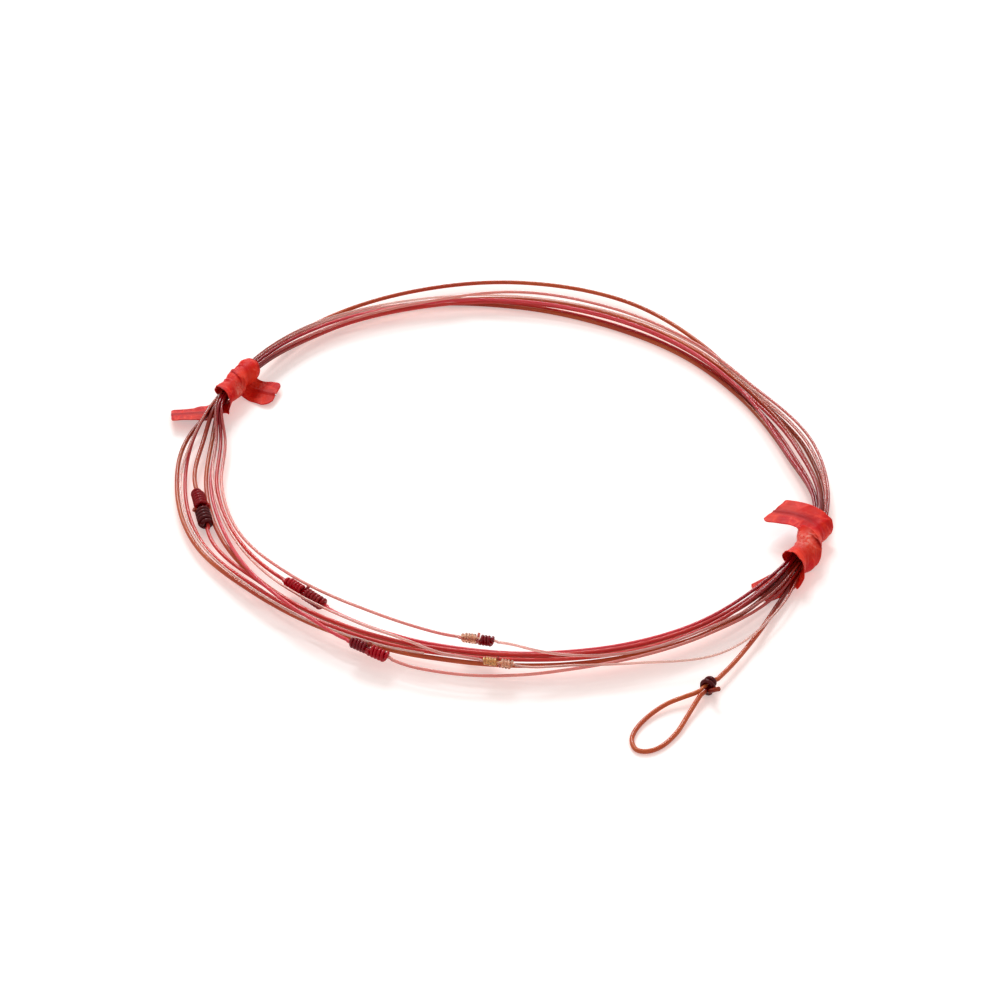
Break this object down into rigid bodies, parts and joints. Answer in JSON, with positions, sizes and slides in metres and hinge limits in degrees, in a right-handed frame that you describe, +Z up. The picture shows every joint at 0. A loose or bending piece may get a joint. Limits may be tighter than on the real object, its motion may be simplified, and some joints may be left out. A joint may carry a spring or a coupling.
{
  "type": "tapered fishing leader",
  "caption": "Tapered nylon fishing leader in blood-knotted sections with a looped butt end, coiled flat and held by plastic-covered wire twist ties.",
  "frame": {"origin": "centre of the bounding box at the level of the surface that the coil lies on", "axes": "+Z up out of the coil, -Y towards the butt loop and the viewer, +X towards the right tie"},
  "size_m": [0.0898, 0.1004, 0.0046],
  "materials": {
    "butt_line": "copper-tinted translucent nylon line",
    "second_line": "red-brown translucent nylon line",
    "third_line": "rose-tinted translucent nylon line",
    "fourth_line": "pale pink translucent nylon line",
    "fifth_line": "nearly clear nylon line",
    "tippet_line": "clear nylon line",
    "dark_knot_line": "dark crimson translucent nylon line, tightly wound",
    "pale_knot_line": "pale straw to dark red nylon line, tightly wound",
    "tie_plastic": "bright red soft plastic, glossy",
    "tie_wire": "soft annealed steel wire"
  },
  "bodies": {
    "root": {"butt_loop": "butt_line", "butt_loop_knot": "butt_line", "butt_lead": "butt_line", "butt_coil": "butt_line", "knot_1_butt_winding": "dark_knot_line", "knot_1_second_winding": "dark_knot_line", "second_coil": "second_line", "knot_2_second_winding": "dark_knot_line", "knot_2_third_winding": "dark_knot_line", "third_coil": "third_line", "knot_3_third_winding": "dark_knot_line", "knot_3_fourth_winding": "dark_knot_line", "fourth_coil": "fourth_line", "knot_4_fourth_winding": "pale_knot_line", "knot_4_fifth_winding": "pale_knot_line", "fifth_coil": "fifth_line", "knot_5_fifth_winding": "pale_knot_line", "knot_5_tippet_winding": "pale_knot_line", "tippet_coil": "tippet_line", "left_tie_strip": "tie_plastic", "left_tie_wire": "tie_wire", "right_tie_strip": "tie_plastic", "right_tie_wire": "tie_wire"}
  },
  "joints": []
}
